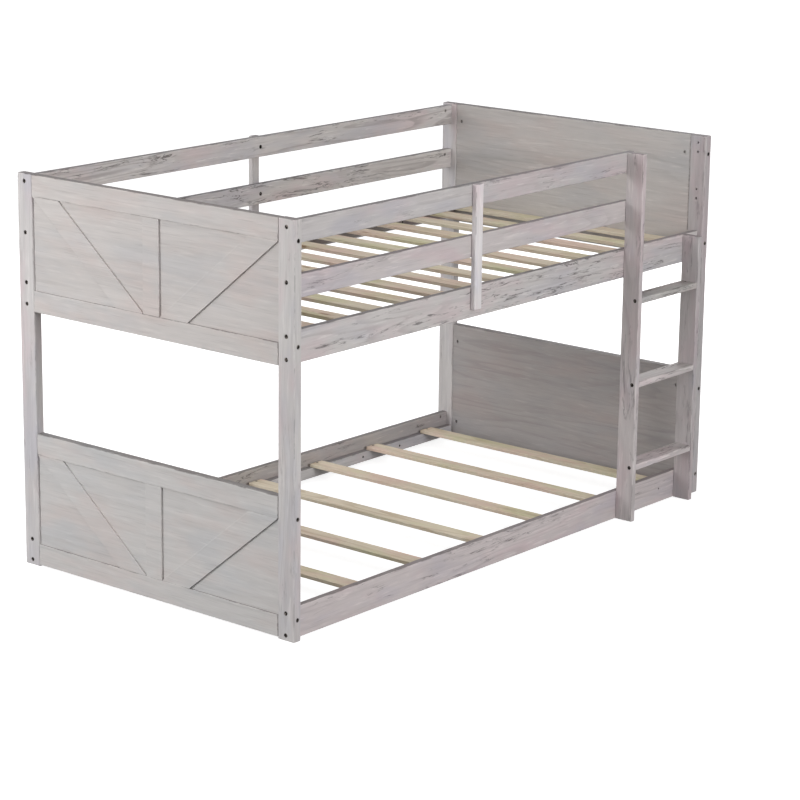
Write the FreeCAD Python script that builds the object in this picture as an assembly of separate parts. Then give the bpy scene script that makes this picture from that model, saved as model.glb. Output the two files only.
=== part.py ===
import FreeCAD, Part
import math
import os

# Bunk bed with a fixed ladder, bolted together from painted pine boards.
# X runs along the bed, Y across it (the ladder is on the -Y side), Z up from the floor.
# Everything is laid out about the middle of the four posts and moved by ORIGIN_SHIFT_Y
# on export, so that the origin is the middle of the whole footprint, ladder included.

V = FreeCAD.Vector
AXIS = {"x": V(1, 0, 0), "y": V(0, 1, 0), "z": V(0, 0, 1)}

# ---------------------------------------------------------------- driving dimensions, mm
LENGTH = 2020.0             # over the posts, along X
WIDTH = 1098.0              # over the posts, along Y
HEIGHT = 1202.0             # floor to the tops of the posts

POST_X = 30.0               # post thickness along the bed
POST_Y = 62.0               # post width across the bed
RAIL_T = 21.0               # thickness of side rails and guard rails
PANEL_H = 412.0             # height of each end panel
LOW_PANEL_Z = 5.0           # bottom of the lower end panels
BOARD_T = 21.0              # end panel board
TRIM_T = 6.0                # raised boards on the outside of the end panels
TRIM_W = 65.0               # width of the raised rails and of the middle stile
BRACE_RUN = 110.0           # width of a raised brace, measured along Y

SIDE_RAIL_H = 93.0
UP_RAIL_Z = 797.0           # underside of the upper side rails
LOW_RAIL_Z = 2.0            # underside of the lower side rails
GUARD_H = 66.0
TOP_GUARD_Z = 1131.0
LOW_GUARD_Z = 978.0

CLEAT_T = 24.0
CLEAT_H = 34.0
CLEAT_LIFT = 12.0           # cleat underside above the rail underside
CLEAT_END_GAP = 2.0
SLAT_W = 60.0
SLAT_T = 11.0
SLAT_END_GAP = 12.0         # between a slat's end and the side rail
# Starts of the slats along X. They are laid by hand, so the gaps are a little uneven.
UP_SLAT_STARTS = (-970.0, -825.0, -680.0, -527.0, -382.0, -242.0, -94.0,
                  49.0, 199.0, 344.0, 500.0, 645.0, 777.0, 920.0)
LOW_SLAT_STARTS = (-963.0, -667.0, -370.0, -72.0, 231.0, 523.0, 817.0)

LADDER_X = 564.0            # outer face of the long ladder rail
LADDER_RAIL_T = 19.0
LADDER_DEPTH = 64.0
LADDER_CLEAR = 310.0        # clear width between the ladder rails
LADDER_FOOT_Z = 3.0
RUNG_T = 20.0
RUNG_DEPTH = 61.0
RUNG_FIRST_Z = 181.0        # middle of the lowest rung
RUNG_PITCH = 274.0
RUNGS = 3
GUARD_PAST_LADDER = 20.0    # front guard rails run on behind the long ladder rail

BALUSTER_W = 35.0
BALUSTER_T = 18.0
BALUSTER_Z = 823.0
BALUSTER_OFF_MIDDLE = 11.0  # front baluster from the middle of the front guard rails

# Rounding of the boards: radius along the grain, then radius round the sawn ends.
POST_EASE = (5.0, 1.5)
RAIL_EASE = (3.0, 1.0)
PANEL_EASE = (2.5, 2.5)
TRIM_EASE = (1.8, 1.0)
BRACE_EASE = 1.2
CLEAT_EASE = (1.5, 1.0)
SLAT_EASE = (1.5, 1.0)
BALUSTER_EASE = (5.0, 2.5)
LADDER_EASE = (3.0, 1.5)
RUNG_EASE = (3.5, 0.8)

# ---------------------------------------------------------------- fasteners, mm
HEAD_R = 6.0
HEAD_H = 4.5
HEAD_SINK = 0.4             # head face below the wood surface
HEAD_EASE = 0.6
HEAD_PLAY = 0.5             # radial play of a bolt head in its pocket
SHANK_R = 3.0
SHANK_HOLE_R = 3.5
SOCKET_AF = 5.0             # hexagon socket, across flats
SOCKET_DEPTH = 3.0
HOLE_SPARE = 1.5            # bolt hole beyond the end of the bolt
NUT_R = 5.0
NUT_L = 14.0
NUT_SLOT_W = 1.4            # screwdriver slot across a barrel nut
NUT_SLOT_DEPTH = 1.2
NUT_FROM_END = 35.0         # barrel nut to the end of a rail or rung
NUT_IN_PANEL = 22.0         # barrel nut to the side edge of an end panel
INSERT_L = 13.0
INSERT_SINK = 0.2
MOUNT_BOLT_L = 29.0
DOWEL_R = 4.0
DOWEL_CHAMFER = 0.8
DOWEL_PLAY = 0.5            # at each end of a dowel
SLIP = 0.05                 # radial clearance of a nut, dowel or screw in its hole
BOLT_SPREAD = 32.5          # side rail bolts above and below the rail's middle
GUARD_BOLT_UP = 15.5
GUARD_DOWEL_DOWN = 15.0
DOWEL_IN_POST = 10.0
DOWEL_IN_RAIL = 20.0
PANEL_BOLT_INSET = 59.0     # panel bolts from the top and bottom of a panel
PANEL_DOWEL_OFF = 100.0     # panel dowels from the middle of a panel
PANEL_DOWEL_HALF = 18.0
RUNG_BOLT_BACK = 15.5       # rung bolts behind the ladder's front edge
RUNG_DOWEL_BACK = 45.0
MOUNT_BOLT_UP = 24.0        # ladder and baluster bolts below the top of a side rail
SCREW_R = 2.0
SCREW_HEAD_R = 4.2
SCREW_HEAD_H = 2.6
SCREW_TIP_R = 0.3
SCREW_TIP_L = 4.0
SCREW_DRIVE_AF = 2.6
SCREW_DRIVE_DEPTH = 1.5
CLEAT_SCREW_L = 40.0
SLAT_SCREW_L = 26.0
CLEAT_SCREW_PITCH = 197.0
CLEAT_SCREWS = 10
SPARE_HOLE_X = 810.0        # small open hole in the lower front side rail
SPARE_HOLE_Z = 48.6
SPARE_HOLE_R = 3.0
SPARE_HOLE_DEPTH = 12.0

OVERLAP = 1.0               # how far cutting tools and fused pieces run past a face
PARALLEL = 0.999            # cosine above which an edge counts as running along an axis
TOUCHING = 0.01             # an edge this near an end plane lies in it

# ---------------------------------------------------------------- worked-out places
HALF_L = LENGTH / 2
HALF_W = WIDTH / 2
POST_IN_X = HALF_L - POST_X                     # inner faces of the posts
POST_IN_Y = HALF_W - POST_Y
RAIL_MID_Y = HALF_W - POST_Y / 2                # rails are centred on the posts
RAIL_OUT_Y = RAIL_MID_Y + RAIL_T / 2
RAIL_IN_Y = RAIL_MID_Y - RAIL_T / 2
PANEL_OUT_X = HALF_L - TRIM_T                   # outer face of an end panel's board
PANEL_IN_X = PANEL_OUT_X - BOARD_T
PANEL_BOLT_X = HALF_L - POST_X / 2
PANEL_DOWEL_X = PANEL_OUT_X - BOARD_T / 2
UP_PANEL_Z = HEIGHT - PANEL_H
LADDER_FRONT_Y = -(RAIL_OUT_Y + LADDER_DEPTH)
LONG_RAIL_X = (LADDER_X, LADDER_X + LADDER_RAIL_T)
SHORT_RAIL_X = (LONG_RAIL_X[1] + LADDER_CLEAR, LONG_RAIL_X[1] + LADDER_CLEAR + LADDER_RAIL_T)
GUARD_END_X = LONG_RAIL_X[1] + GUARD_PAST_LADDER
FRONT_BALUSTER_X = (GUARD_END_X - POST_IN_X) / 2 - BALUSTER_OFF_MIDDLE
REAR_BALUSTER_X = 0.0
GUARD_TOP = TOP_GUARD_Z + GUARD_H
ORIGIN_SHIFT_Y = -(LADDER_FRONT_Y + HALF_W) / 2

boards = {}                 # node name -> list of wooden solids
hardware = {}               # node name -> list of metal or dowel solids
hole_tools = []             # what every fastener takes out of the wood


# ---------------------------------------------------------------- boards
def edges_along(shape, axis):
    """The straight edges of a box that run along one axis."""
    found = []
    for edge in shape.Edges:
        run = edge.Vertexes[-1].Point - edge.Vertexes[0].Point
        if abs(run.dot(AXIS[axis])) > run.Length * PARALLEL:
            found.append(edge)
    return found


def edges_at_ends(shape, axis):
    """All edges that lie in the two end planes of a board."""
    box = shape.BoundBox
    low = {"x": box.XMin, "y": box.YMin, "z": box.ZMin}[axis]
    high = {"x": box.XMax, "y": box.YMax, "z": box.ZMax}[axis]
    found = []
    for edge in shape.Edges:
        span = edge.BoundBox
        first = {"x": span.XMin, "y": span.YMin, "z": span.ZMin}[axis]
        last = {"x": span.XMax, "y": span.YMax, "z": span.ZMax}[axis]
        if last - first < TOUCHING and min(abs(first - low), abs(first - high)) < TOUCHING:
            found.append(edge)
    return found


def board(x, y, z, grain, ease):
    """A planed board with its grain along one axis and its edges rounded."""
    solid = Part.makeBox(x[1] - x[0], y[1] - y[0], z[1] - z[0], V(x[0], y[0], z[0]))
    solid = solid.makeFillet(ease[0], edges_along(solid, grain))
    return solid.makeFillet(ease[1], edges_at_ends(solid, grain))


def mirrored(span, sign):
    """A span on the + side of a centre plane, or its mirror image on the - side."""
    return span if sign > 0 else (-span[1], -span[0])


def brace(x, z_low, z_high, side):
    """A raised diagonal board: from an upper outer corner down to the middle stile."""
    points = [V(x[0], side * POST_IN_Y, z_high), V(x[0], side * (POST_IN_Y - BRACE_RUN), z_high),
              V(x[0], side * TRIM_W / 2, z_low), V(x[0], side * (TRIM_W / 2 + BRACE_RUN), z_low)]
    face = Part.Face(Part.makePolygon(points + points[:1]))
    solid = face.extrude(V(x[1] - x[0], 0, 0))
    return solid.makeFillet(BRACE_EASE, solid.Edges)


def make_posts():
    for end, end_sign in (("near", -1), ("far", 1)):
        for side, side_sign in (("front", -1), ("rear", 1)):
            x = mirrored((POST_IN_X, HALF_L), end_sign)
            y = mirrored((POST_IN_Y, HALF_W), side_sign)
            boards["post_%s_%s" % (end, side)] = [board(x, y, (0.0, HEIGHT), "z", POST_EASE)]


def make_end_panel(name, end_sign, z_low):
    z_high = z_low + PANEL_H
    full_y = (-POST_IN_Y, POST_IN_Y)
    back_x = mirrored((PANEL_IN_X, PANEL_OUT_X), end_sign)
    trim_x = mirrored((PANEL_OUT_X, HALF_L), end_sign)
    inner_low = z_low + TRIM_W
    inner_high = z_high - TRIM_W
    boards[name + "_board"] = [board(back_x, full_y, (z_low, z_high), "y", PANEL_EASE)]
    boards[name + "_trim_top"] = [board(trim_x, full_y, (inner_high, z_high), "y", TRIM_EASE)]
    boards[name + "_trim_bottom"] = [board(trim_x, full_y, (z_low, inner_low), "y", TRIM_EASE)]
    stile_y = (-TRIM_W / 2, TRIM_W / 2)
    boards[name + "_trim_stile"] = [board(trim_x, stile_y, (inner_low, inner_high), "z", TRIM_EASE)]
    for side, side_sign in (("front", -1), ("rear", 1)):
        boards["%s_brace_%s" % (name, side)] = [brace(trim_x, inner_low, inner_high, side_sign)]


def make_end_panels():
    for end, end_sign in (("near", -1), ("far", 1)):
        make_end_panel(end + "_upper_panel", end_sign, UP_PANEL_Z)
        make_end_panel(end + "_lower_panel", end_sign, LOW_PANEL_Z)


def make_rails():
    rail_x = (-POST_IN_X, POST_IN_X)
    cleat_x = (-POST_IN_X + CLEAT_END_GAP, POST_IN_X - CLEAT_END_GAP)
    for side, sign in (("front", -1), ("rear", 1)):
        rail_y = mirrored((RAIL_IN_Y, RAIL_OUT_Y), sign)
        cleat_y = mirrored((RAIL_IN_Y - CLEAT_T, RAIL_IN_Y), sign)
        guard_x = (-POST_IN_X, GUARD_END_X if sign < 0 else POST_IN_X)
        for level, z in (("upper", UP_RAIL_Z), ("lower", LOW_RAIL_Z)):
            rail = board(rail_x, rail_y, (z, z + SIDE_RAIL_H), "x", RAIL_EASE)
            cleat_z = (z + CLEAT_LIFT, z + CLEAT_LIFT + CLEAT_H)
            cleat = board(cleat_x, cleat_y, cleat_z, "x", CLEAT_EASE)
            boards["%s_side_rail_%s" % (level, side)] = [rail]
            boards["%s_cleat_%s" % (level, side)] = [cleat]
        for level, z in (("top", TOP_GUARD_Z), ("low", LOW_GUARD_Z)):
            guard = board(guard_x, rail_y, (z, z + GUARD_H), "x", RAIL_EASE)
            boards["%s_guard_rail_%s" % (level, side)] = [guard]


def make_balusters():
    for side, sign, middle in (("front", -1, FRONT_BALUSTER_X), ("rear", 1, REAR_BALUSTER_X)):
        x = (middle - BALUSTER_W / 2, middle + BALUSTER_W / 2)
        y = mirrored((RAIL_OUT_Y, RAIL_OUT_Y + BALUSTER_T), sign)
        boards["baluster_" + side] = [board(x, y, (BALUSTER_Z, GUARD_TOP), "z", BALUSTER_EASE)]


def make_ladder():
    y = (LADDER_FRONT_Y, -RAIL_OUT_Y)
    up_rail_top = UP_RAIL_Z + SIDE_RAIL_H
    for name, x, top in (("long", LONG_RAIL_X, GUARD_TOP), ("short", SHORT_RAIL_X, up_rail_top)):
        boards["ladder_rail_" + name] = [board(x, y, (LADDER_FOOT_Z, top), "z", LADDER_EASE)]
    rung_gap = (LADDER_DEPTH - RUNG_DEPTH) / 2
    rung_y = (y[0] + rung_gap, y[1] - rung_gap)
    rung_x = (LONG_RAIL_X[1], SHORT_RAIL_X[0])
    for i in range(RUNGS):
        middle = RUNG_FIRST_Z + i * RUNG_PITCH
        rung_z = (middle - RUNG_T / 2, middle + RUNG_T / 2)
        boards["rung_%d" % (i + 1)] = [board(rung_x, rung_y, rung_z, "x", RUNG_EASE)]


def slat(middle, z_low):
    x = (middle - SLAT_W / 2, middle + SLAT_W / 2)
    y = (-RAIL_IN_Y + SLAT_END_GAP, RAIL_IN_Y - SLAT_END_GAP)
    return board(x, y, (z_low, z_low + SLAT_T), "y", SLAT_EASE)


def slat_middles(level):
    starts = UP_SLAT_STARTS if level == "upper" else LOW_SLAT_STARTS
    return [start + SLAT_W / 2 for start in starts]


def slat_rest(level):
    """Height of the cleat tops that the slats lie on."""
    return (UP_RAIL_Z if level == "upper" else LOW_RAIL_Z) + CLEAT_LIFT + CLEAT_H


def make_slats():
    boards["upper_slats"] = [slat(middle, slat_rest("upper")) for middle in slat_middles("upper")]
    for i, middle in enumerate(slat_middles("lower")):
        boards["lower_slat_%d" % (i + 1)] = [slat(middle, slat_rest("lower"))]


# ---------------------------------------------------------------- hardware
def rod(radius, start, direction, length):
    return Part.makeCylinder(radius, length, start, direction)


def hexagon(across_flats, start, direction, depth):
    """A hexagonal prism that starts at a point and runs along a direction."""
    radius = across_flats / math.sqrt(3)
    side = AXIS["z"] if abs(direction.z) < 0.9 else AXIS["x"]
    other = direction.cross(side)
    points = []
    for i in range(6):
        turn = math.radians(60 * i)
        points.append(start + side * (radius * math.cos(turn)) + other * (radius * math.sin(turn)))
    return Part.Face(Part.makePolygon(points + points[:1])).extrude(direction * depth)


def hole(radius, start, direction, length):
    hole_tools.append(rod(radius, start, direction, length))


def round_edges(shape):
    return [edge for edge in shape.Edges if edge.Curve.TypeId == "Part::GeomCircle"]


def bolt(node, surface, direction, length):
    """A socket bolt let into the wood at a surface point, its shank length under the head."""
    under_head = HEAD_SINK + HEAD_H
    head = rod(HEAD_R, surface + direction * HEAD_SINK, direction, HEAD_H)
    head = head.makeFillet(HEAD_EASE, round_edges(head))
    shank = rod(SHANK_R, surface + direction * (under_head - OVERLAP), direction, length + OVERLAP)
    socket = hexagon(SOCKET_AF, surface, direction, HEAD_SINK + SOCKET_DEPTH)
    hardware.setdefault(node, []).append(head.fuse(shank).cut(socket))
    bolt_hole(surface, direction, length)


def bolt_hole(surface, direction, length):
    under_head = HEAD_SINK + HEAD_H
    hole(HEAD_R + HEAD_PLAY, surface - direction * OVERLAP, direction, under_head + OVERLAP)
    hole(SHANK_HOLE_R, surface, direction, under_head + length + HOLE_SPARE)


def barrel_nut(middle, bolt_direction, opening_direction, opening_depth):
    """A cross nut on a bolt's axis; its hole opens opening_depth away, along opening_direction."""
    start = middle - opening_direction * (NUT_L / 2)
    body = rod(NUT_R, start, opening_direction, NUT_L)
    reach = NUT_R + OVERLAP
    body = body.cut(rod(SHANK_R + SLIP, middle - bolt_direction * reach, bolt_direction, 2 * reach))
    slot_floor = middle + opening_direction * (NUT_L / 2 - NUT_SLOT_DEPTH)
    along = bolt_direction * reach
    across = bolt_direction.cross(opening_direction) * (NUT_SLOT_W / 2)
    slot_points = [slot_floor - along - across, slot_floor + along - across,
                   slot_floor + along + across, slot_floor - along + across]
    slot_face = Part.Face(Part.makePolygon(slot_points + slot_points[:1]))
    slot = slot_face.extrude(opening_direction * (NUT_SLOT_DEPTH + OVERLAP))
    hardware.setdefault("nuts", []).append(body.cut(slot))
    hole(NUT_R + SLIP, start, opening_direction, NUT_L / 2 + opening_depth + OVERLAP)


def insert_nut(surface, direction):
    """A threaded insert pressed into a board at a surface point."""
    body = rod(NUT_R, surface + direction * INSERT_SINK, direction, INSERT_L)
    body = body.cut(rod(SHANK_R + SLIP, surface, direction, INSERT_L + OVERLAP))
    hardware.setdefault("nuts", []).append(body)
    hole(NUT_R + SLIP, surface, direction, INSERT_L + 2 * INSERT_SINK)


def dowel(start, direction, length):
    body = rod(DOWEL_R, start, direction, length)
    body = body.makeChamfer(DOWEL_CHAMFER, round_edges(body))
    hardware.setdefault("dowels", []).append(body)
    hole(DOWEL_R + SLIP, start - direction * DOWEL_PLAY, direction, length + 2 * DOWEL_PLAY)


def screw(surface, direction, length):
    """A countersunk wood screw whose head lies flush with a surface."""
    neck = surface + direction * SCREW_HEAD_H
    head = Part.makeCone(SCREW_HEAD_R, SCREW_R, SCREW_HEAD_H, surface, direction)
    shank_l = length - SCREW_HEAD_H - SCREW_TIP_L
    shank = rod(SCREW_R, neck, direction, shank_l)
    tip = Part.makeCone(SCREW_R, SCREW_TIP_R, SCREW_TIP_L, neck + direction * shank_l, direction)
    drive_start = surface - direction * OVERLAP
    drive = hexagon(SCREW_DRIVE_AF, drive_start, direction, SCREW_DRIVE_DEPTH + OVERLAP)
    hardware.setdefault("screws", []).append(head.fuse([shank, tip]).removeSplitter().cut(drive))
    wide = Part.makeCone(SCREW_HEAD_R + SLIP, SCREW_R + SLIP, SCREW_HEAD_H, surface, direction)
    hole_tools.append(wide)
    hole(SCREW_R + SLIP, neck, direction, length - SCREW_HEAD_H + SLIP)


def rail_joint(end_sign, side_sign, z, fitted=True):
    """A bolt through a post into the end of a rail, with its barrel nut."""
    surface = V(end_sign * HALF_L, side_sign * RAIL_MID_Y, z)
    inward = AXIS["x"] * -end_sign
    shank = POST_X + NUT_FROM_END + NUT_R - HEAD_SINK - HEAD_H
    if not fitted:
        bolt_hole(surface, inward, POST_X)
        return
    bolt("rail_bolts", surface, inward, shank)
    middle = V(end_sign * (POST_IN_X - NUT_FROM_END), side_sign * RAIL_MID_Y, z)
    barrel_nut(middle, inward, AXIS["y"] * -side_sign, RAIL_T / 2)


def guard_joint(end_sign, side_sign, z_low):
    """Bolt and dowel of a guard rail at a post; the spare place has the two holes alone."""
    middle_z = z_low + GUARD_H / 2
    fitted = side_sign > 0 or end_sign < 0
    rail_joint(end_sign, side_sign, middle_z + GUARD_BOLT_UP, fitted)
    inward = AXIS["x"] * -end_sign
    start_x = end_sign * (POST_IN_X + DOWEL_IN_POST)
    start = V(start_x, side_sign * RAIL_MID_Y, middle_z - GUARD_DOWEL_DOWN)
    if fitted:
        dowel(start, inward, DOWEL_IN_POST + DOWEL_IN_RAIL)
    else:
        hole(DOWEL_R + SLIP, start, inward, DOWEL_IN_POST + OVERLAP)


def make_rail_joints():
    for end_sign in (-1, 1):
        for side_sign in (-1, 1):
            for z in (UP_RAIL_Z, LOW_RAIL_Z):
                middle = z + SIDE_RAIL_H / 2
                rail_joint(end_sign, side_sign, middle + BOLT_SPREAD)
                rail_joint(end_sign, side_sign, middle - BOLT_SPREAD)
            guard_joint(end_sign, side_sign, TOP_GUARD_Z)
            guard_joint(end_sign, side_sign, LOW_GUARD_Z)
    spare = V(SPARE_HOLE_X, -RAIL_OUT_Y - OVERLAP, SPARE_HOLE_Z)
    hole(SPARE_HOLE_R, spare, AXIS["y"], SPARE_HOLE_DEPTH + OVERLAP)


def make_panel_joints():
    """Two bolts and two dowels between each end panel and each of its posts."""
    shank = POST_Y + NUT_IN_PANEL + NUT_R - HEAD_SINK - HEAD_H
    for end_sign in (-1, 1):
        for side_sign in (-1, 1):
            inward = AXIS["y"] * -side_sign
            for z_low in (UP_PANEL_Z, LOW_PANEL_Z):
                for z in (z_low + PANEL_BOLT_INSET, z_low + PANEL_H - PANEL_BOLT_INSET):
                    bolt_x = end_sign * PANEL_BOLT_X
                    bolt("panel_bolts", V(bolt_x, side_sign * HALF_W, z), inward, shank)
                    middle = V(bolt_x, side_sign * (POST_IN_Y - NUT_IN_PANEL), z)
                    opening = PANEL_BOLT_X - PANEL_IN_X
                    barrel_nut(middle, inward, AXIS["x"] * -end_sign, opening)
                for offset in (-PANEL_DOWEL_OFF, PANEL_DOWEL_OFF):
                    start_y = side_sign * (POST_IN_Y + PANEL_DOWEL_HALF)
                    start = V(end_sign * PANEL_DOWEL_X, start_y, z_low + PANEL_H / 2 + offset)
                    dowel(start, inward, 2 * PANEL_DOWEL_HALF)


def make_rung_joints():
    shank = LADDER_RAIL_T + NUT_FROM_END + NUT_R - HEAD_SINK - HEAD_H
    for i in range(RUNGS):
        z = RUNG_FIRST_Z + i * RUNG_PITCH
        for outer, inner, direction in ((LONG_RAIL_X[0], LONG_RAIL_X[1], AXIS["x"]),
                                        (SHORT_RAIL_X[1], SHORT_RAIL_X[0], AXIS["x"] * -1)):
            bolt_y = LADDER_FRONT_Y + RUNG_BOLT_BACK
            bolt("rail_bolts", V(outer, bolt_y, z), direction, shank)
            middle = V(inner, bolt_y, z) + direction * NUT_FROM_END
            barrel_nut(middle, direction, AXIS["z"] * -1, RUNG_T / 2)
            dowel_start = V(inner, LADDER_FRONT_Y + RUNG_DOWEL_BACK, z) - direction * DOWEL_IN_POST
            dowel(dowel_start, direction, DOWEL_IN_POST + DOWEL_IN_RAIL)


def outer_mount(x, side_sign, z):
    """A bolt from inside the bed through a rail into an upright on its outer face."""
    outward = AXIS["y"] * side_sign
    bolt("rail_bolts", V(x, side_sign * RAIL_IN_Y, z), outward, MOUNT_BOLT_L)
    insert_nut(V(x, side_sign * RAIL_OUT_Y, z), outward)


def make_outer_mounts():
    guard_zs = [TOP_GUARD_Z + GUARD_H / 2, LOW_GUARD_Z + GUARD_H / 2]
    rail_zs = [z + SIDE_RAIL_H - MOUNT_BOLT_UP for z in (UP_RAIL_Z, LOW_RAIL_Z)]
    for z in guard_zs + rail_zs:
        outer_mount(sum(LONG_RAIL_X) / 2, -1, z)
    for z in rail_zs:
        outer_mount(sum(SHORT_RAIL_X) / 2, -1, z)
    for z in guard_zs + rail_zs[:1]:
        outer_mount(FRONT_BALUSTER_X, -1, z)
        outer_mount(REAR_BALUSTER_X, 1, z)


def make_screws():
    first = -(CLEAT_SCREWS - 1) * CLEAT_SCREW_PITCH / 2
    slat_screw_y = RAIL_IN_Y - (CLEAT_T + SLAT_END_GAP) / 2
    for level, z in (("upper", UP_RAIL_Z), ("lower", LOW_RAIL_Z)):
        cleat_mid_z = z + CLEAT_LIFT + CLEAT_H / 2
        slat_top = slat_rest(level) + SLAT_T
        for side_sign in (-1, 1):
            outward = AXIS["y"] * side_sign
            for i in range(CLEAT_SCREWS):
                x = first + i * CLEAT_SCREW_PITCH
                screw(V(x, side_sign * (RAIL_IN_Y - CLEAT_T), cleat_mid_z), outward, CLEAT_SCREW_L)
            for middle in slat_middles(level):
                screw(V(middle, side_sign * slat_screw_y, slat_top), AXIS["z"] * -1, SLAT_SCREW_L)


# ---------------------------------------------------------------- drilling and export
def drilled(solid):
    """Cut every fastener's hole out of one board."""
    tools = [tool for tool in hole_tools if tool.BoundBox.intersect(solid.BoundBox)]
    if not tools:
        return solid
    return solid.cut(tools)


def export(name, solids):
    shape = solids[0] if len(solids) == 1 else Part.makeCompound(solids)
    shape = shape.copy()
    shape.translate(V(0, ORIGIN_SHIFT_Y, 0))
    if not shape.isValid():
        raise RuntimeError("invalid shape: " + name)
    shape.exportStep("parts/%s.step" % name)
    box = shape.BoundBox
    print("%-32s %3d  X %7.1f %7.1f  Y %7.1f %7.1f  Z %7.1f %7.1f  %9.1f cm3" % (
        name, len(shape.Solids), box.XMin, box.XMax, box.YMin, box.YMax, box.ZMin, box.ZMax,
        shape.Volume / 1000))


def main():
    os.makedirs("parts", exist_ok=True)
    make_posts()
    make_end_panels()
    make_rails()
    make_balusters()
    make_ladder()
    make_slats()
    make_rail_joints()
    make_panel_joints()
    make_rung_joints()
    make_outer_mounts()
    make_screws()
    for name, solids in boards.items():
        cut_solids = []
        for solid in solids:
            cut_solids += drilled(solid).Solids
        if len(cut_solids) != len(solids):
            raise RuntimeError("a hole splits " + name)
        export(name, cut_solids)
    for name, solids in hardware.items():
        export(name, solids)
    print("nodes", len(boards) + len(hardware), "origin shift Y", ORIGIN_SHIFT_Y)


main()
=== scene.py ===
import math
from collections import namedtuple

import bpy
from mathutils import Euler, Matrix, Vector


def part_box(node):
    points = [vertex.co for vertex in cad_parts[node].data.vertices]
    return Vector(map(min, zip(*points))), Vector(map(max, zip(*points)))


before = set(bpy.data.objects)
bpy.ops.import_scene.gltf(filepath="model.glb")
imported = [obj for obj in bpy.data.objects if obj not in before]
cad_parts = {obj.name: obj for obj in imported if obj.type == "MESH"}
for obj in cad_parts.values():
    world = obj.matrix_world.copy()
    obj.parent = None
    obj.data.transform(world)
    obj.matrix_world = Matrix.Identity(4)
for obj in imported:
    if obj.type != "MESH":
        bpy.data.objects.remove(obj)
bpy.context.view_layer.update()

# ---------------------------------------------------------------- camera, m and degrees
CAMERA_AT = (-6.3047, -5.2870, 2.5562)
CAMERA_TURN = (75.4293, -0.6964, -50.1837)
LENS_MM = 121.12
SENSOR_MM = 36.0
CAMERA_SEES_TO = 200.0


def make_camera():
    data = bpy.data.cameras.new("camera")
    data.lens = LENS_MM
    data.sensor_width = SENSOR_MM
    data.clip_end = CAMERA_SEES_TO
    camera = bpy.data.objects.new("camera", data)
    camera.location = CAMERA_AT
    camera.rotation_euler = Euler([math.radians(turn) for turn in CAMERA_TURN])
    bpy.context.scene.collection.objects.link(camera)
    bpy.context.scene.camera = camera


make_camera()


# ---------------------------------------------------------------- node-tree helper
class Tree:
    """Adds shader nodes to a node tree and links them as they are made."""

    def __init__(self, tree):
        self.tree = tree

    def add(self, kind, inputs=None, **settings):
        node = self.tree.nodes.new(kind)
        for key, value in settings.items():
            setattr(node, key, value)
        for key, value in (inputs or {}).items():
            self.feed(node.inputs[key], value)
        return node

    def feed(self, socket, value):
        if isinstance(value, bpy.types.NodeSocket):
            self.tree.links.new(value, socket)
        else:
            socket.default_value = value

    def math(self, operation, a, b=0.0):
        return self.add("ShaderNodeMath", {0: a, 1: b}, operation=operation).outputs[0]

    def times(self, a, b):
        return self.math("MULTIPLY", a, b)

    def plus(self, a, b):
        return self.math("ADD", a, b)

    def minus(self, a, b):
        return self.math("SUBTRACT", a, b)

    def vector(self, operation, a, b):
        node = self.add("ShaderNodeVectorMath", {0: a, 1: b}, operation=operation)
        return node.outputs["Value" if operation == "DOT_PRODUCT" else "Vector"]

    def scaled(self, vector, scale):
        return self.vector("MULTIPLY", vector, scale)

    def split(self, vector):
        return self.add("ShaderNodeSeparateXYZ", {0: vector}).outputs

    def joined(self, parts):
        return self.add("ShaderNodeCombineXYZ", dict(enumerate(parts))).outputs[0]

    def noise(self, vector, scale, detail, rough=0.5, distort=0.0):
        node = self.add("ShaderNodeTexNoise", {"Vector": vector, "Scale": scale, "Detail": detail,
                                               "Roughness": rough, "Distortion": distort})
        return node.outputs["Fac"]

    def grainy(self, vector, name):
        """The noise of this name in NOISES."""
        scales, detail, rough, distort = NOISES[name]
        return self.noise(self.scaled(vector, scales), 1.0, detail, rough, distort)

    def ramp(self, value, low, high):
        """0 below low, 1 above high, smooth between; low may be the greater of the two."""
        node = self.add("ShaderNodeMapRange", {0: value, 1: low, 2: high, 3: 0.0, 4: 1.0},
                        interpolation_type="SMOOTHSTEP")
        return node.outputs[0]

    def mark(self, value, name):
        """How much the mark of this name in MARKS shows, 0 to 1."""
        return self.ramp(value, *MARKS[name])

    def mix(self, factor, a, b, blend="MIX"):
        node = self.add("ShaderNodeMix", {0: factor, 6: a, 7: b}, data_type="RGBA",
                        blend_type=blend)
        return node.outputs[2]


def rgb(red, green, blue):
    """A display colour from 0 to 255 as linear light."""
    def linear(part):
        part /= 255.0
        return part / 12.92 if part <= 0.04045 else ((part + 0.055) / 1.055) ** 2.4
    return (linear(red), linear(green), linear(blue), 1.0)


# ---------------------------------------------------------------- wood, shared by all boards
# Each noise: features to the metre along the grain, across the width and through the
# thickness, then its detail, roughness and distortion.
NOISES = {
    "wobble": ((30.0, 70.0, 70.0), 1.0, 0.5, 0.0),
    "slow": ((0.75, 7.5, 7.5), 2.0, 0.45, 0.15),
    "fibre": ((9.0, 300.0, 300.0), 3.0, 0.6, 0.0),
    "stroke": ((11.0, 120.0, 120.0), 3.0, 0.6, 0.0),
    "streak": ((2.2, 45.0, 45.0), 3.0, 0.55, 0.0),
    "patchy": ((1.6, 9.0, 9.0), 2.0, 0.5, 0.0),
    "warm": ((3.4, 9.0, 9.0), 3.0, 0.6, 0.0),
    "cool": ((2.8, 8.0, 8.0), 3.0, 0.6, 0.0),
    "curl": ((5.0, 36.0, 36.0), 4.0, 0.62, 0.6),
    "ragged": ((9.0, 80.0, 80.0), 6.0, 0.72, 0.5),
    "cluster": ((4.5, 24.0, 24.0), 3.0, 0.6, 0.0),
    "rub_and_highlight": ((14.0, 40.0, 40.0), 4.0, 0.65, 0.0),
}
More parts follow.
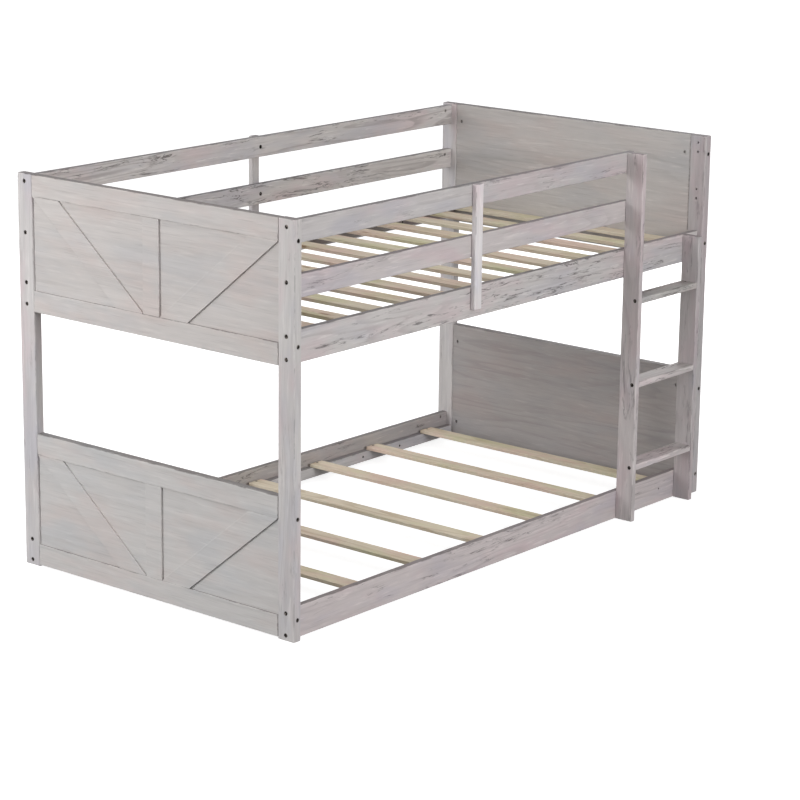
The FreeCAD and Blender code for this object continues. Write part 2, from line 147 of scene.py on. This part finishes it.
# Each mark: the value where it starts to show, and the value where it is full.
MARKS = {
    "halo": (0.34, 0.02), "core": (0.085, 0.045),
    "rim outside": (0.125, 0.085), "rim inside": (0.085, 0.06),
    "line start": (0.45, 0.9), "line end": (1.0, 0.93), "broken": (0.45, 0.80),
    "warm": (0.44, 0.66), "cool": (0.46, 0.68), "fibre": (0.54, 0.76), "stroke": (0.58, 0.72),
    "thin": (0.030, 0.008), "clustered": (0.54, 0.64), "ragged": (0.42, 0.56),
    "blot": (0.66, 0.76), "worn and highlit edge": (0.0036, 0.0006), "rubbed and highlit": (0.50, 0.66),
    "nicked edge": (0.0038, 0.0008), "dented": (0.50, 0.38), "upward": (0.55, 0.95),
    "sawn end": (0.72, 0.92),
}
# How strongly each mark is laid over the colour beneath it.
AMOUNTS = {"warm": 0.8, "cool": 0.75, "figure": 0.55, "fibre": 0.30, "strokes": 0.9,
           "blot": 0.62, "smudge": 0.75, "rim": 0.55, "core": 0.70, "worn_and_highlight": 0.65,
           "rings": 0.35, "end": 0.35}
# How far each mark stands up, or sinks in, as a share of the bump's height.
HEIGHTS = {"figure": -0.35, "fibre": 0.45, "core": -0.5, "rim": 0.4, "smudge": -0.25}
WOOD_ROUGH, ROUGH_BY_STREAK, ROUGH_BY_SMUDGE = 0.50, 0.16, 0.12
MOTTLE_STREAK, MOTTLE_STROKE = 0.55, 0.45
FIBRE_BREAKS_FIGURE = 0.25
PUSH_BLOTS = 0.5
MIDDLE = 0.5                            # the mean of every noise
SEED_SHIFT = (3.17, 1.31, 0.73)         # metres of the pattern for each 1 of a board's seed
ELSEWHERE = (5.3, 2.1, 7.7)             # to a part of the pattern with nothing in common
KNOTS_ALONG, KNOTS_ACROSS = 4.2, 12.0   # cells to the metre, each with at most one knot
KNOT_SCATTER = 0.85
KNOT_WOBBLE = 0.05
KNOT_BENDS_FIGURE = 2.2
MOTTLE_FROM, MOTTLE_TO = (0.28, 0.72), (0.88, 1.09)
STROKES_MOST = 0.60
SMUDGE_PUSH = 0.10                      # how far a board's smudge place gathers the marks
NATURAL_BASE = 2.718
RING_SCALE = 62.0                       # growth rings on the sawn ends
RING_CENTRE = (0.0, 0.021, 0.034)
RING_WARP = 2.0
# One of these sockets sets the painted shade laid on faces that look up.
SOCKETS = (("Along", "Vector"), ("Low", "Vector"), ("High", "Vector"), ("Grain", "Vector"),
           ("Seed", "Float"), ("Figure", "Float"), ("Contrast", "Float"), ("Knots", "Float"),
           ("Smudge", "Float"), ("Smudge At", "Float"), ("Smudge Reach", "Float"),
           ("Top Shade", "Float"), ("Nicks", "Float"), ("Base", "Color"), ("Warm", "Color"),
           ("Cool", "Color"), ("Line", "Color"), ("Dark", "Color"), ("Worn And Highlight", "Color"))


def make_knots(t, inp, place):
    """Sparse ovals, longer along the grain: their wide halo, dark core and the rim round it."""
    along, width, depth = t.split(place)
    flat = t.joined([t.times(along, KNOTS_ALONG),
                     t.times(t.plus(width, depth), KNOTS_ACROSS), 0.0])
    cells = t.add("ShaderNodeTexVoronoi", {"Vector": flat, "Scale": 1.0,
                                           "Randomness": KNOT_SCATTER}, voronoi_dimensions="2D")
    chance = t.add("ShaderNodeSeparateColor", {0: cells.outputs["Color"]}).outputs[0]
    present = t.math("LESS_THAN", chance, inp["Knots"])
    wobble = t.minus(t.grainy(place, "wobble"), MIDDLE)
    reach = t.plus(cells.outputs["Distance"], t.times(wobble, KNOT_WOBBLE))
    rim = t.minus(t.mark(reach, "rim outside"), t.mark(reach, "rim inside"))
    halo, core = t.mark(reach, "halo"), t.mark(reach, "core")
    return [t.times(shape, present) for shape in (halo, core, rim)]


def make_figure(t, inp, place, halo, fibre):
    """Contour lines of a long, slow noise, broken up in patches, bent round the knots."""
    level = t.plus(t.times(t.grainy(place, "slow"), inp["Figure"]),
                   t.times(halo, KNOT_BENDS_FIGURE))
    saw = t.math("FRACT", level)
    line = t.times(t.mark(saw, "line start"), t.mark(saw, "line end"))
    patchy = t.plus(t.grainy(place, "patchy"), t.times(fibre, FIBRE_BREAKS_FIGURE))
    broken = t.mark(patchy, "broken")
    return t.times(t.times(line, broken), inp["Contrast"])


def make_finish(t, inp, place, elsewhere, figure, fibre, stroke, streak):
    """Broad warm and cool tints, mottling, the figure, then short strokes left lighter."""
    warm = t.mark(t.grainy(place, "warm"), "warm")
    cool = t.mark(t.grainy(elsewhere, "cool"), "cool")
    tint = t.mix(t.times(warm, AMOUNTS["warm"]), inp["Base"], inp["Warm"])
    tint = t.mix(t.times(cool, AMOUNTS["cool"]), tint, inp["Cool"])
    mottle = t.plus(t.times(streak, MOTTLE_STREAK), t.times(stroke, MOTTLE_STROKE))
    mottle = t.add("ShaderNodeMapRange", dict(enumerate((mottle,) + MOTTLE_FROM + MOTTLE_TO)))
    grey = t.add("ShaderNodeCombineColor", {i: mottle.outputs[0] for i in range(3)})
    tint = t.mix(1.0, tint, grey.outputs[0], "MULTIPLY")
    tint = t.mix(t.times(figure, AMOUNTS["figure"]), tint, inp["Line"])
    tint = t.mix(t.times(t.mark(fibre, "fibre"), AMOUNTS["fibre"]), tint, inp["Line"])
    strokes = t.math("MINIMUM", t.times(inp["Contrast"], AMOUNTS["strokes"]), STROKES_MOST)
    return t.mix(t.times(t.mark(stroke, "stroke"), strokes), tint, inp["Worn And Highlight"])


def make_smudges(t, inp, place, elsewhere):
    """Thin, broken dark lines and blots in clusters, most near one place on the board."""
    thin = t.mark(t.math("ABSOLUTE", t.minus(t.grainy(place, "curl"), MIDDLE)), "thin")
    ragged = t.grainy(place, "ragged")
    away = t.minus(t.split(inp["Along"])[0], inp["Smudge At"])
    away = t.math("DIVIDE", away, inp["Smudge Reach"])
    near = t.math("POWER", NATURAL_BASE, t.times(t.times(away, away), -1.0))
    push = t.times(t.times(near, inp["Smudge"]), SMUDGE_PUSH)
    push = t.plus(push, t.grainy(elsewhere, "cluster"))
    scratch = t.times(t.times(thin, t.mark(push, "clustered")), t.mark(ragged, "ragged"))
    blot = t.mark(t.plus(ragged, t.times(t.minus(push, MIDDLE), PUSH_BLOTS)), "blot")
    smudge = t.math("MAXIMUM", scratch, t.times(blot, AMOUNTS["blot"]))
    return t.times(smudge, t.math("MINIMUM", inp["Smudge"], 1.0))


def wear_edges(t, inp, place, tint):
    """Edges lightened as rubbed wear and as a painted highlight, and nicked edges. The second
    smallest distance to a face is that to an edge.
    """
    inner = t.vector("MINIMUM", t.vector("SUBTRACT", inp["Along"], inp["Low"]),
                     t.vector("SUBTRACT", inp["High"], inp["Along"]))
    gap = t.split(inner)
    small = t.math("MINIMUM", gap[0], gap[1])
    large = t.math("MAXIMUM", gap[0], gap[1])
    edge = t.math("MAXIMUM", small, t.math("MINIMUM", large, gap[2]))
    rub_and_highlight = t.grainy(place, "rub_and_highlight")
    # The lighter edges are rubbed paint and a painted highlight where rounded edges catch the
    # light.
    worn_and_highlight = t.times(t.mark(edge, "worn and highlit edge"), t.mark(rub_and_highlight, "rubbed and highlit"))
    tint = t.mix(t.times(worn_and_highlight, AMOUNTS["worn_and_highlight"]), tint, inp["Worn And Highlight"])
    nick = t.times(t.mark(edge, "nicked edge"), t.mark(rub_and_highlight, "dented"))
    return t.mix(t.times(nick, inp["Nicks"]), tint, inp["Dark"])


def shade_tops_and_ring_ends(t, inp, place, tint):
    """Faces that look up darkened towards Dark as painted shade, and sawn ends darker and with
    growth rings.
    """
    normal = t.add("ShaderNodeNewGeometry").outputs["Normal"]
    upward = t.mark(t.split(normal)[2], "upward")
    # Painted shade: faces that look up are darkened towards Dark, standing in for the little
    # light that reaches the tops.
    tint = t.mix(t.times(upward, inp["Top Shade"]), tint, inp["Dark"])
    facing = t.math("ABSOLUTE", t.vector("DOT_PRODUCT", normal, inp["Grain"]))
    section = t.vector("ADD", t.scaled(place, (0.0, 1.0, 1.0)), RING_CENTRE)
    rings = t.add("ShaderNodeTexWave", {"Vector": section, "Scale": RING_SCALE,
                                        "Distortion": RING_WARP, "Detail": 2.0},
                  wave_type="RINGS", rings_direction="X").outputs["Fac"]
    ringed = t.mix(t.times(rings, AMOUNTS["rings"]), tint, inp["Line"])
    ringed = t.mix(AMOUNTS["end"], ringed, inp["Line"])
    return t.mix(t.mark(facing, "sawn end"), tint, ringed)


def make_wood_group():
    """Sawn, planed pine. Along is the place in the pattern's axes: strokes, width, depth."""
    group = bpy.data.node_groups.new("pine", "ShaderNodeTree")
    face = group.interface
    for name, kind in SOCKETS:
        face.new_socket(name, in_out="INPUT", socket_type="NodeSocket" + kind)
    for name, kind in (("Color", "Color"), ("Roughness", "Float"), ("Height", "Float")):
        face.new_socket(name, in_out="OUTPUT", socket_type="NodeSocket" + kind)
    t = Tree(group)
    inp = t.add("NodeGroupInput").outputs
    out = t.add("NodeGroupOutput").inputs

    shift = t.joined([t.times(inp["Seed"], step) for step in SEED_SHIFT])
    place = t.vector("ADD", inp["Along"], shift)
    elsewhere = t.vector("ADD", place, ELSEWHERE)
    fibre, stroke, streak = (t.grainy(place, name) for name in ("fibre", "stroke", "streak"))
    halo, core, rim = make_knots(t, inp, place)
    figure = make_figure(t, inp, place, halo, fibre)
    smudge = make_smudges(t, inp, place, elsewhere)

    tint = make_finish(t, inp, place, elsewhere, figure, fibre, stroke, streak)
    tint = t.mix(t.times(smudge, AMOUNTS["smudge"]), tint, inp["Dark"])
    tint = t.mix(t.times(rim, AMOUNTS["rim"]), tint, inp["Line"])
    tint = t.mix(t.times(core, AMOUNTS["core"]), tint, inp["Dark"])
    tint = wear_edges(t, inp, place, tint)
    tint = shade_tops_and_ring_ends(t, inp, place, tint)

    rough = t.plus(WOOD_ROUGH, t.times(streak, ROUGH_BY_STREAK))
    rough = t.plus(rough, t.times(smudge, ROUGH_BY_SMUDGE))
    height = t.times(figure, HEIGHTS["figure"])
    for name, mark in (("fibre", fibre), ("core", core), ("rim", rim), ("smudge", smudge)):
        height = t.plus(height, t.times(mark, HEIGHTS[name]))
    t.feed(out["Color"], tint)
    t.feed(out["Roughness"], rough)
    t.feed(out["Height"], height)
    return group


WOOD = make_wood_group()
# The lightest colour is for worn strokes, and for worn edges that also carry a painted highlight.
WASHED = {"Base": rgb(203, 199, 198), "Warm": rgb(205, 191, 193), "Cool": rgb(189, 187, 193),
          "Line": rgb(146, 138, 138), "Dark": rgb(74, 68, 68), "Worn And Highlight": rgb(226, 222, 220)}
CALM = {**WASHED, "Warm": rgb(204, 194, 192), "Cool": rgb(193, 192, 194)}
BARE = {"Base": rgb(226, 214, 192), "Warm": rgb(225, 196, 182), "Cool": rgb(207, 205, 164),
        "Line": rgb(180, 156, 122), "Dark": rgb(128, 86, 52), "Worn And Highlight": rgb(232, 222, 204)}
WOOD_BUMP = 0.35
WOOD_BUMP_M = 0.0008
WOOD_SPECULAR = 0.32

# How each board's colours are scaled. Some of these are the shade that a board stands in.
NEUTRAL = (1.0, 1.0, 1.0)
BRIGHT = (1.34, 1.33, 1.34)
LIGHT = (1.08, 1.08, 1.07)
SHADED = (0.50, 0.46, 0.43)
# The far panels' scales darken them as painted shade, for the shade at the far end inside the
# bed.
PANEL_TINTS_AND_SHADE = {"near_upper": (0.97, 0.955, 0.935), "near_lower": (0.955, 0.965, 0.955),
               "far_upper_": (0.87, 0.865, 0.85), "far_lower_": (0.68, 0.66, 0.655)}
PANEL_SEEDS = {"near_upper": 1.4, "near_lower": 3.3, "far_upper_": 5.6, "far_lower_": 7.9}
NEAR_CONTRAST, FAR_CONTRAST = 0.16, 0.40

# seed picks the board's place in the pattern, figure is how many grain lines it has and
# contrast how strong they and the light strokes are. knots is the share of cells with a knot.
# smudge is how strong the dark marks are, at their middle along the board and reach their
# spread, both in metres, and tint scales the board's colours; on some boards it darkens them as
# painted shade.
Look = namedtuple("Look", "seed figure contrast knots smudge at reach tint")
# The darker tints of lower_side_rail_rear, the upper cleats (SHADED), ladder_rail_short and
# post_far_front are painted shade.
LOOKS = {
    "upper_side_rail_front": Look(1.0, 17.0, 0.55, 0.0, 2.0, 0.12, 0.55, (0.98, 0.97, 0.96)),
    "lower_side_rail_front": Look(2.3, 15.0, 0.45, 0.0, 0.9, -0.20, 0.35, (0.99, 0.93, 0.935)),
    "upper_side_rail_rear": Look(3.1, 15.0, 0.6, 0.08, 0.6, -0.10, 0.60, NEUTRAL),
    "lower_side_rail_rear": Look(4.7, 16.0, 0.6, 0.08, 0.9, -0.05, 0.50, (0.83, 0.80, 0.76)),
    "top_guard_rail_front": Look(5.2, 14.0, 0.45, 0.0, 0.6, 0.30, 0.50, (0.93, 0.92, 0.92)),
    "low_guard_rail_front": Look(6.9, 14.0, 0.45, 0.0, 0.6, -0.80, 0.30, (0.98, 0.94, 0.94)),
    "top_guard_rail_rear": Look(7.4, 20.0, 1.0, 0.06, 1.1, -0.65, 0.30, LIGHT),
    "low_guard_rail_rear": Look(8.8, 18.0, 0.9, 0.14, 2.2, 0.00, 0.60, LIGHT),
    "upper_cleat_front": Look(14.2, 12.0, 0.4, 0.05, 0.4, 0.00, 1.00, SHADED),
    "upper_cleat_rear": Look(15.6, 12.0, 0.4, 0.05, 0.4, 0.00, 1.00, SHADED),
    "baluster_front": Look(12.1, 12.0, 0.3, 0.0, 0.2, 1.00, 0.30, BRIGHT),
    "ladder_rail_long": Look(9.3, 12.0, 0.6, 0.02, 0.6, 0.60, 0.60, (0.97, 0.935, 0.94)),
    "ladder_rail_short": Look(10.9, 12.0, 0.4, 0.02, 0.5, 0.40, 0.60, (0.82, 0.80, 0.81)),
    "rung_1": Look(17.2, 12.0, 0.9, 0.0, 1.3, 0.74, 0.40, (1.16, 1.12, 1.12)),
    "rung_2": Look(18.9, 12.0, 0.9, 0.0, 1.1, 0.74, 0.40, (1.10, 1.07, 1.06)),
    "rung_3": Look(20.3, 12.0, 0.9, 0.0, 1.1, 0.74, 0.40, (0.88, 0.88, 0.85)),
    "post_far_front": Look(13.3, 13.0, 0.35, 0.03, 0.5, 0.50, 0.60, (0.80, 0.79, 0.80)),
    "post_near_front": Look(16.4, 13.0, 0.35, 0.03, 0.3, 0.0, 1.0, (1.0, 1.0, 0.99)),
}
SEED_STEP = 1.37            # between the seeds of boards without a row of their own
SLAT_SEED_STEP = 1.7
# The first of these darkens faces that look up, as painted shade; NICKS darken worn edges.
TOP_SHADE, NICKS = 0.60, 0.45
RUNG_TOP_SHADE = 0.35
CALM_NICKS = 0.05           # on the stiles and braces, which get no painted shade on their tops
SLAT_NICKS = 0.15
ALONG_X, ALONG_Y, ALONG_Z = (Vector([float(i == k) for i in range(3)]) for k in range(3))
BRACE_RUN = 0.110           # width of a brace, measured along Y


def look_of(name, index):
    """The look of a board, by its own row, its panel, or else its place in the list."""
    if "panel" in name:
        panel = name[:10]
        contrast = NEAR_CONTRAST if name.startswith("near") else FAR_CONTRAST
        return Look(PANEL_SEEDS[panel], 15.0, contrast, 0.0, 0.0, 0.0, 1.0, PANEL_TINTS_AND_SHADE[panel])
    return LOOKS.get(name, Look(index * SEED_STEP, 13.0, 0.35, 0.03, 0.3, 0.0, 1.0, NEUTRAL))


def grain_of(name, low, high):
    """Unit vectors along the grain, across the board's width and through its thickness."""
    if "brace" in name:
        run = high.y - low.y - BRACE_RUN
        side = -1.0 if "front" in name else 1.0
        grain = Vector((0.0, side * run, high.z - low.z)).normalized()
        return grain, ALONG_X.cross(grain), ALONG_X
    if "slat" in name:
        return ALONG_Y, ALONG_X, ALONG_Z
    sizes = high - low
    order = sorted(range(3), key=lambda i: -sizes[i])
    return tuple((ALONG_X, ALONG_Y, ALONG_Z)[k] for k in order)


def wood_material(name, node, colours, look, top_shade, nicks):
    """One board's finish, with its strokes along the board and its own place in the pattern."""
    material = bpy.data.materials.new(name)
    material.use_nodes = True
    t = Tree(material.node_tree)
    shader = material.node_tree.nodes["Principled BSDF"]
    axes = grain_of(name, *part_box(name))
    grain = axes[0]
    if "panel" in name:     # the finish is brushed straight across all the boards of a panel
        axes = (ALONG_Y, ALONG_Z, ALONG_X)
    corners = [[vertex.co.dot(axis) for vertex in node.data.vertices] for axis in axes]
    here = t.add("ShaderNodeTexCoord").outputs["Object"]
    along = t.joined([t.vector("DOT_PRODUCT", here, tuple(axis)) for axis in axes])
    facts = {"Along": along, "Low": [min(c) for c in corners], "High": [max(c) for c in corners],
             "Grain": tuple(grain), "Seed": look.seed, "Figure": look.figure,
             "Contrast": look.contrast, "Knots": look.knots, "Smudge": look.smudge,
             "Smudge At": look.at, "Smudge Reach": look.reach, "Top Shade": top_shade, "Nicks": nicks}
    for key, value in colours.items():
        facts[key] = tuple(a * b for a, b in zip(value, look.tint + (1.0,)))
    wood = t.add("ShaderNodeGroup", node_tree=WOOD)
    for key, value in facts.items():
        t.feed(wood.inputs[key], value)
    bump = t.add("ShaderNodeBump", {"Height": wood.outputs["Height"], "Strength": WOOD_BUMP,
                                    "Distance": WOOD_BUMP_M})
    t.feed(shader.inputs["Base Color"], wood.outputs["Color"])
    t.feed(shader.inputs["Roughness"], wood.outputs["Roughness"])
    t.feed(shader.inputs["Normal"], bump.outputs["Normal"])
    shader.inputs["Specular IOR Level"].default_value = WOOD_SPECULAR
    return material


# ---------------------------------------------------------------- fastener metal
PATCHES = 240.0                         # dull patches to the metre
SCRATCHES = (900.0, 120.0, 900.0)
RUBBED_AND_GLINT_METAL = (0.52, 0.66)
RUB_AND_GLINT_BY_PATCH, RUB_AND_GLINT_BY_SCRATCH = 0.7, 0.3
METAL_ROUGH_BY_PATCH = 0.25
METAL_BUMP = 0.2
METAL_BUMP_M = 0.0002


def metal_material(name, colour, worn_and_highlight, rough, metallic):
    """Fastener metal: fine turning marks, dull patches, and bright spots that are rubbed wear and
    painted glint.
    """
    material = bpy.data.materials.new(name)
    material.use_nodes = True
    t = Tree(material.node_tree)
    shader = material.node_tree.nodes["Principled BSDF"]
    here = t.add("ShaderNodeTexCoord").outputs["Object"]
    patch = t.noise(here, PATCHES, 4.0, 0.6)
    scratch = t.noise(t.scaled(here, SCRATCHES), 1.0, 2.0)
    # The lighter spots are rubbed metal and painted glint.
    rub_and_highlight = t.plus(t.times(patch, RUB_AND_GLINT_BY_PATCH), t.times(scratch, RUB_AND_GLINT_BY_SCRATCH))
    rub_and_highlight = t.ramp(rub_and_highlight, *RUBBED_AND_GLINT_METAL)
    bump = t.add("ShaderNodeBump", {"Height": scratch, "Strength": METAL_BUMP,
                                    "Distance": METAL_BUMP_M})
    t.feed(shader.inputs["Base Color"], t.mix(rub_and_highlight, colour, worn_and_highlight))
    t.feed(shader.inputs["Roughness"], t.plus(rough, t.times(patch, METAL_ROUGH_BY_PATCH)))
    t.feed(shader.inputs["Normal"], bump.outputs["Normal"])
    shader.inputs["Metallic"].default_value = metallic
    return material


def paint_nodes():
    # The second colour of each lightens the rubbed spots; on the bolts it is also painted glint.
    dark = metal_material("bolt_steel", rgb(38, 34, 33), rgb(176, 166, 156), 0.30, 0.9)
    zinc = metal_material("nut_steel", rgb(150, 148, 144), rgb(196, 194, 188), 0.30, 0.95)
    metals = {"rail_bolts": dark, "panel_bolts": dark, "nuts": zinc, "screws": dark}
    for index, (name, node) in enumerate(sorted(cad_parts.items())):
        if name in metals:
            material = metals[name]
        elif name == "dowels" or "slat" in name:
            look = Look(index * SLAT_SEED_STEP, 15.0, 0.8, 0.13, 0.2, 0.0, 2.0, NEUTRAL)
            material = wood_material(name, node, BARE, look, 0.0, SLAT_NICKS)
        else:
            # The first of this pair is the painted shade on faces that look up.
            top_shade, nicks = TOP_SHADE, NICKS
            if "trim_stile" in name or "brace" in name:
                top_shade, nicks = 0.0, CALM_NICKS
            if "rung" in name:
                top_shade = RUNG_TOP_SHADE
            colours = CALM if "panel" in name else WASHED
            material = wood_material(name, node, colours, look_of(name, index), top_shade, nicks)
        node.data.materials.clear()
        node.data.materials.append(material)


paint_nodes()

# ---------------------------------------------------------------- floor and light
FLOOR_HALF = 40.0
WALL_R, WALL_H, WALL_SIDES = 39.0, 30.0, 48
PAPER = (rgb(176, 176, 176), rgb(182, 182, 182))
PAPER_FLECKS = 6.0
PAPER_ROUGH = 0.9
PAPER_GLOW = 0.84           # keeps the paper near white without lighting the object
BELOW = (0.12, 0.12, 0.12, 1.0)
HORIZON = (0.33, 0.33, 0.33, 1.0)
ZENITH = (0.85, 0.85, 0.86, 1.0)
SKY_RISES = (0.25, 0.95)    # heights on the unit sky where the horizon ends and zenith starts
GROUND_FALLS = (0.0, -0.05)
# name, place, what it points at, diameter in metres, watts
LAMPS = (
    ("left_key", (-4.4, 1.5, 1.7), (-0.9, 0.1, 0.6), 2.0, 101.0),
    ("front_key", (-1.0, -5.0, 1.8), (0.2, -0.5, 0.7), 2.2, 120.0),
    ("far_fill", (4.4, 1.2, 0.9), (0.8, 0.1, 0.6), 2.4, 70.0),
    ("rear_fill", (0.6, 4.6, 0.9), (0.1, 0.5, 0.6), 2.4, 60.0),
)


def paper_material():
    material = bpy.data.materials.new("floor_paper")
    material.use_nodes = True
    t = Tree(material.node_tree)
    shader = material.node_tree.nodes["Principled BSDF"]
    here = t.add("ShaderNodeTexCoord").outputs["Object"]
    fleck = t.noise(here, PAPER_FLECKS, 3.0)
    t.feed(shader.inputs["Base Color"], t.mix(fleck, *PAPER))
    shader.inputs["Roughness"].default_value = PAPER_ROUGH
    shader.inputs["Specular IOR Level"].default_value = 0.0
    shader.inputs["Emission Color"].default_value = (1.0, 1.0, 1.0, 1.0)
    shader.inputs["Emission Strength"].default_value = PAPER_GLOW
    return material


def stage_piece(name, points, faces, material):
    """A piece of the studio. It sends no light on to the object."""
    mesh = bpy.data.meshes.new(name)
    mesh.from_pydata(points, [], faces)
    piece = bpy.data.objects.new(name, mesh)
    bpy.context.scene.collection.objects.link(piece)
    mesh.materials.append(material)
    piece.visible_diffuse = False
    return piece


def make_stage():
    """A wide pale floor with soft contact shadows, and a round wall for the camera only."""
    paper = paper_material()
    signs = ((-1, -1), (1, -1), (1, 1), (-1, 1))
    corners = [(x * FLOOR_HALF, y * FLOOR_HALF, 0.0) for x, y in signs]
    stage_piece("floor", corners, [(0, 1, 2, 3)], paper)
    turns = [math.tau * i / WALL_SIDES for i in range(WALL_SIDES)]
    ring = [(WALL_R * math.cos(turn), WALL_R * math.sin(turn)) for turn in turns]
    points = [(x, y, z) for z in (0.0, WALL_H) for x, y in ring]
    faces = [(i, (i + 1) % WALL_SIDES, WALL_SIDES + (i + 1) % WALL_SIDES, WALL_SIDES + i)
             for i in range(WALL_SIDES)]
    wall = stage_piece("backdrop", points, faces, paper)
    wall.visible_glossy = False
    wall.visible_shadow = False


def make_lamp(name, at, aim, size, watts):
    data = bpy.data.lights.new(name, "AREA")
    data.shape = "DISK"
    data.size = size
    data.energy = watts
    lamp = bpy.data.objects.new(name, data)
    lamp.location = at
    lamp.rotation_euler = (Vector(aim) - Vector(at)).to_track_quat("-Z", "Y").to_euler()
    lamp.visible_camera = False
    bpy.context.scene.collection.objects.link(lamp)


def make_light():
    world = bpy.data.worlds.new("studio")
    world.use_nodes = True
    t = Tree(world.node_tree)
    background = world.node_tree.nodes["Background"]
    up = t.split(t.add("ShaderNodeTexCoord").outputs["Generated"])[2]
    sky = t.mix(t.ramp(up, *SKY_RISES), HORIZON, ZENITH)
    t.feed(background.inputs["Color"], t.mix(t.ramp(up, *GROUND_FALLS), sky, BELOW))
    background.inputs["Strength"].default_value = 1.0
    bpy.context.scene.world = world
    for lamp in LAMPS:
        make_lamp(*lamp)
    bpy.context.scene.view_settings.view_transform = "Standard"


make_stage()
make_light()
